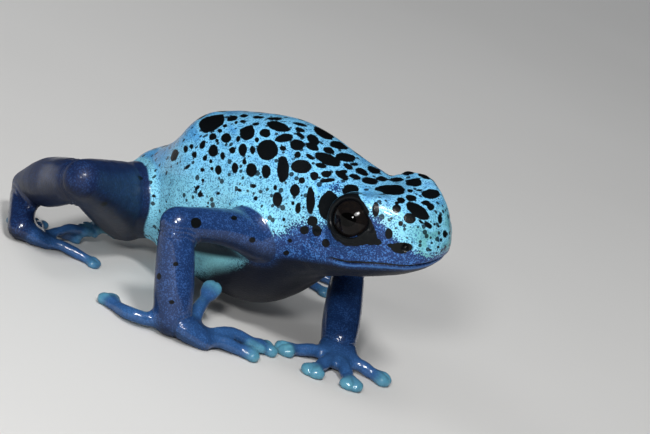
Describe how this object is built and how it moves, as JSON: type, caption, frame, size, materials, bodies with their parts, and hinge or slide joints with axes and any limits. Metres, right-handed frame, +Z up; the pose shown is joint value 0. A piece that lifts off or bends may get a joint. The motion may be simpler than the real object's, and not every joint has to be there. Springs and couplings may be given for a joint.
{
  "type": "frog model",
  "caption": "Life-size still model of a blue poison dart frog in a walking stance on its four feet, with black spots on a sky-blue back and royal-blue limbs.",
  "frame": {"origin": "on the floor, under the middle of the model's box", "axes": "+X is the way the frog faces, +Y is to its left, +Z is up"},
  "size_m": [0.0454, 0.0472, 0.0227],
  "materials": {
    "back_skin": "glossy, finely granular",
    "throat_skin": "glossy, finely granular",
    "limb_skin": "glossy, finely granular",
    "digit_skin": "glossy",
    "eye": "polished"
  },
  "bodies": {
    "root": {"arm_left_fore": "limb_skin", "arm_left_upper": "limb_skin", "arm_right_fore": "limb_skin", "arm_right_upper": "limb_skin", "eye_left": "eye", "eye_right": "eye", "foot_left": "limb_skin", "foot_left_toe_1": "digit_skin", "foot_left_toe_2": "digit_skin", "foot_left_toe_3": "digit_skin", "foot_left_toe_4": "digit_skin", "foot_left_toe_5": "digit_skin", "foot_right": "limb_skin", "foot_right_toe_1": "digit_skin", "foot_right_toe_2": "digit_skin", "foot_right_toe_3": "digit_skin", "foot_right_toe_4": "digit_skin", "foot_right_toe_5": "digit_skin", "hand_left": "limb_skin", "hand_left_finger_1": "digit_skin", "hand_left_finger_2": "digit_skin", "hand_left_finger_3": "digit_skin", "hand_left_finger_4": "digit_skin", "hand_right": "limb_skin", "hand_right_finger_1": "digit_skin", "hand_right_finger_2": "digit_skin", "hand_right_finger_3": "digit_skin", "hand_right_finger_4": "digit_skin", "head": "back_skin", "leg_left_shank": "limb_skin", "leg_left_tarsus": "limb_skin", "leg_left_thigh": "limb_skin", "leg_right_shank": "limb_skin", "leg_right_tarsus": "limb_skin", "leg_right_thigh": "limb_skin", "lower_jaw": "throat_skin", "torso": "back_skin"}
  },
  "joints": []
}
